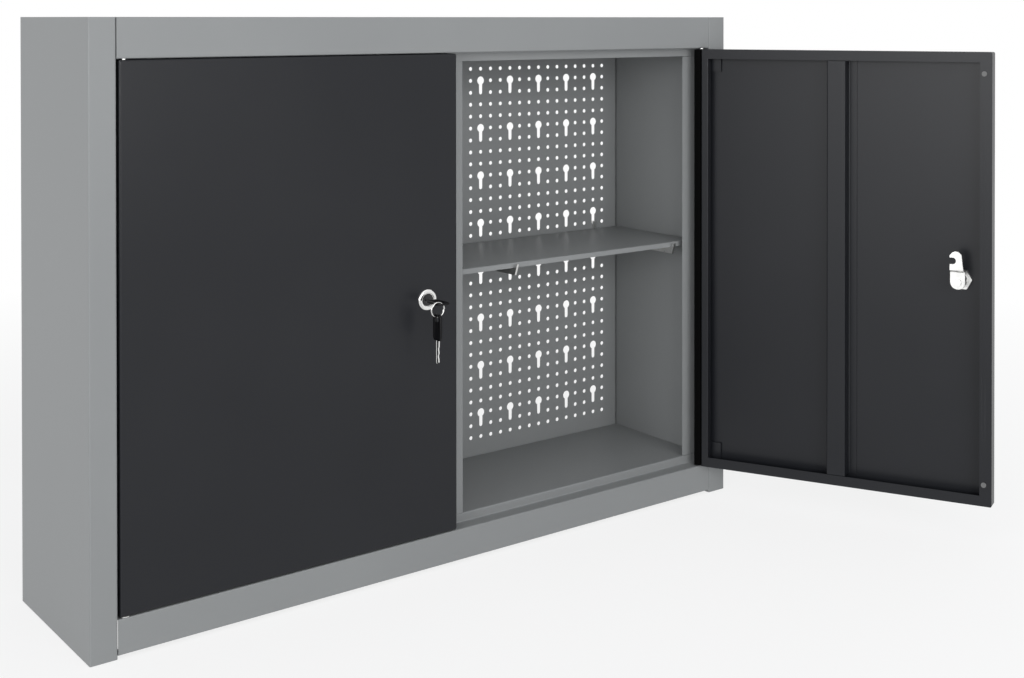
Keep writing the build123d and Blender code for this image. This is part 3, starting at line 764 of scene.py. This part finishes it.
# %% Rivets and screws of the carcass
SIDES = (-1, 1)
RAIL_X, RAIL_Y, RAIL_Z = 372.8 * MM, (-155 * MM, -50 * MM), (280 * MM, -267 * MM)
FLANGE_X, FLANGE_Y, FLANGE_Z = 373.1 * MM, -6 * MM, (-220 * MM, -70 * MM, 80 * MM, 230 * MM)
SPINE_X, SPINE_Y, SPINE_Z = 37 * MM, -13.05 * MM, (-220 * MM, 0, 220 * MM)
POST_X, POST_TOP, POST_FOOT = 9 * MM, (-181.55 * MM, 256 * MM), (-167.5 * MM, -252.15 * MM)
side_rivets = [((s * FLANGE_X, FLANGE_Y, z), (-s, 0, 0)) for s in SIDES for z in FLANGE_Z]
spine_spots = [((s * SPINE_X, SPINE_Y, z), (0, -1, 0)) for s in SIDES for z in SPINE_Z]
post_spots = [((s * POST_X, *POST_TOP), (0, -1, 0)) for s in SIDES]
post_spots += [((s * POST_X, *POST_FOOT), (0, 0, 1)) for s in SIDES]
carcass_spots = [
    ((s * RAIL_X, y, z), (-s, 0, 0)) for s in SIDES for y in RAIL_Y for z in RAIL_Z
]
back_heads = rivet_heads("rivets", side_rivets, zinc)
spine_heads = rivet_heads("spine", spine_spots, body_paint)
post_heads = rivet_heads("post", post_spots, body_paint)
carcass_heads = screw_heads("screws", carcass_spots, 4.5 * MM, 2.6 * MM, zinc)
GROUPS = (
    ("back_rivet_heads", "back_rivets", back_heads, "zinc"),
    ("spine_rivet_heads", "spine_rivets", spine_heads, "body_paint"),
    ("post_rivet_heads", "post_rivets", post_heads, "body_paint"),
    ("carcass_screw_heads", "carcass_screws", carcass_heads, "zinc"),
)
for name, node, mesh, slot in GROUPS:
    made = piece(name, mesh, "cabinet")
    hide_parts(node)
    print(name, len(mesh.polygons), "faces", [round(v, 4) for v in made.dimensions])

# %% [markdown]
# ## Camera
# The cabinet is seen from its left, level with its top. The picture is a crop
# from a wider view, so the lens is shifted and the camera hardly tilted.

# %% The camera
camera_data = bpy.data.cameras.new("camera")
camera = bpy.data.objects.new("camera", camera_data)
bpy.context.scene.collection.objects.link(camera)
bpy.context.scene.camera = camera
camera_data.sensor_width = 36
camera_data.lens = 50.89
camera_data.shift_x = -0.1179
camera_data.shift_y = -0.3010
camera.location = (-0.86138, -1.54374, 0.29883)
camera.rotation_euler = (math.radians(89.5), 0, math.radians(-39.58))
camera_data.clip_start = 0.01
print("camera at", [round(v, 3) for v in camera.location])

# %% [markdown]
# ## Floor and light
# The object stands on a white floor in a white room. Only rays from the camera
# and reflected or transmitted rays see the white. All others see a dimmer room, so
# the paint gets its soft light from that and from three lamps.


# %% A plane, a world and soft lamps
def seen_directly(tree):
    """1 for camera, reflected and transmitted rays, else 0."""
    seen = tree.node("ShaderNodeLightPath", {}, {}, "Is Camera Ray")
    for ray in ("Is Glossy Ray", "Is Transmission Ray"):
        seen = seen.maths("MAXIMUM", seen, tree.node("ShaderNodeLightPath", {}, {}, ray))
    return seen


world = bpy.data.worlds.new("room")
world.use_nodes = True
bpy.context.scene.world = world
world.node_tree.nodes.clear()
room = Tree(world.node_tree)
white_room = room.node("ShaderNodeBackground", {}, {"Color": (1, 1, 1)})
soft_room = room.node("ShaderNodeBackground", {}, {"Color": (0.45, 0.46, 0.475)})
choose = room.node("ShaderNodeMixShader", {}, {0: seen_directly(room), 1: soft_room, 2: white_room})
room.node("ShaderNodeOutputWorld", {}, {"Surface": choose})

FLOOR_Z, FLOOR_REACH = -0.3005, 6
corners = [
    (x * FLOOR_REACH, y * FLOOR_REACH, FLOOR_Z) for x, y in ((-1, -1), (1, -1), (1, 1), (-1, 1))
]
floor_mesh = bpy.data.meshes.new("floor")
floor_mesh.from_pydata(corners, [], [(0, 1, 2, 3)])
floor = bpy.data.objects.new("floor", floor_mesh)
bpy.context.scene.collection.objects.link(floor)
floor_finish = Finish("floor", Roughness=0.9, Specular_IOR_Level=0.1)
grain = floor_finish.noise(40, 3)
floor_finish.set(Base_Color=floor_finish.colour_mix(grain, (0.88, 0.88, 0.88), (0.9, 0.9, 0.9)))
white = floor_finish.node("ShaderNodeEmission", {}, {"Color": (1, 1, 1)})
distance = floor_finish.node(
    "ShaderNodeVectorMath", {"operation": "LENGTH"}, {0: floor_finish.place()}, "Value"
)
whiteness = (distance.ramp(0.7, 1.8) * 0.2 + 0.8) * seen_directly(floor_finish)
lit = Value(floor_finish, floor_finish.shader.outputs[0])
blend = floor_finish.node("ShaderNodeMixShader", {}, {0: whiteness, 1: lit, 2: white})
floor_finish.put(floor_finish.nodes["Material Output"].inputs["Surface"], blend)
floor_mesh.materials.append(floor_finish.material)


def soft_lamp(name, place, aim, size, power):
    lamp = bpy.data.lights.new(name, "AREA")
    lamp.shape = "RECTANGLE"
    lamp.size, lamp.size_y = size
    lamp.energy = power
    holder = bpy.data.objects.new(name, lamp)
    bpy.context.scene.collection.objects.link(holder)
    holder.location = place
    holder.rotation_euler = (Vector(aim) - Vector(place)).to_track_quat("-Z", "Y").to_euler()


soft_lamp("front lamp", (-0.4, -2.8, 0.6), (0, -0.1, 0), (1.6, 1.2), 28)
soft_lamp("left lamp", (-4.0, -1.9, 0.6), (0.2, -0.3, 0), (1.8, 1.6), 50)
soft_lamp("top lamp", (0.0, -0.6, 2.6), (0, -0.4, -0.3), (2.6, 2.0), 10)
print("room and lamps ready")

# %% [markdown]
# ## Finish

# %% The view transform
scene = bpy.context.scene
scene.view_settings.view_transform = "Standard"
